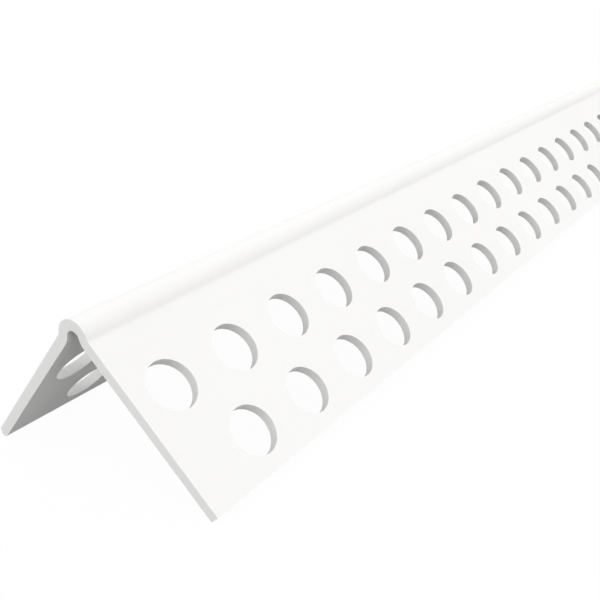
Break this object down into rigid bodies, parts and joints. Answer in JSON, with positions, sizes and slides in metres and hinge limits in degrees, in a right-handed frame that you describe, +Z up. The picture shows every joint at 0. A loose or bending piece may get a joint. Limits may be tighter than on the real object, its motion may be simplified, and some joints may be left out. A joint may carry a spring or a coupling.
{
  "type": "drywall corner bead",
  "caption": "Straight plastic corner bead with a hollow rounded nose and two flanges punched with staggered rows of round holes, for finishing outside drywall corners.",
  "frame": {"origin": "on the floor below the nose, at mid length, with the bead lying nose up on its two flange edges", "axes": "+X along the length, away from the end seen in the picture; +Z up through the nose; -Y towards the flange seen from outside in the picture"},
  "size_m": [2.4384, 0.0437, 0.0238],
  "materials": {
    "white_pvc": "satin"
  },
  "bodies": {
    "root": {"corner_bead": "white_pvc"}
  },
  "joints": []
}
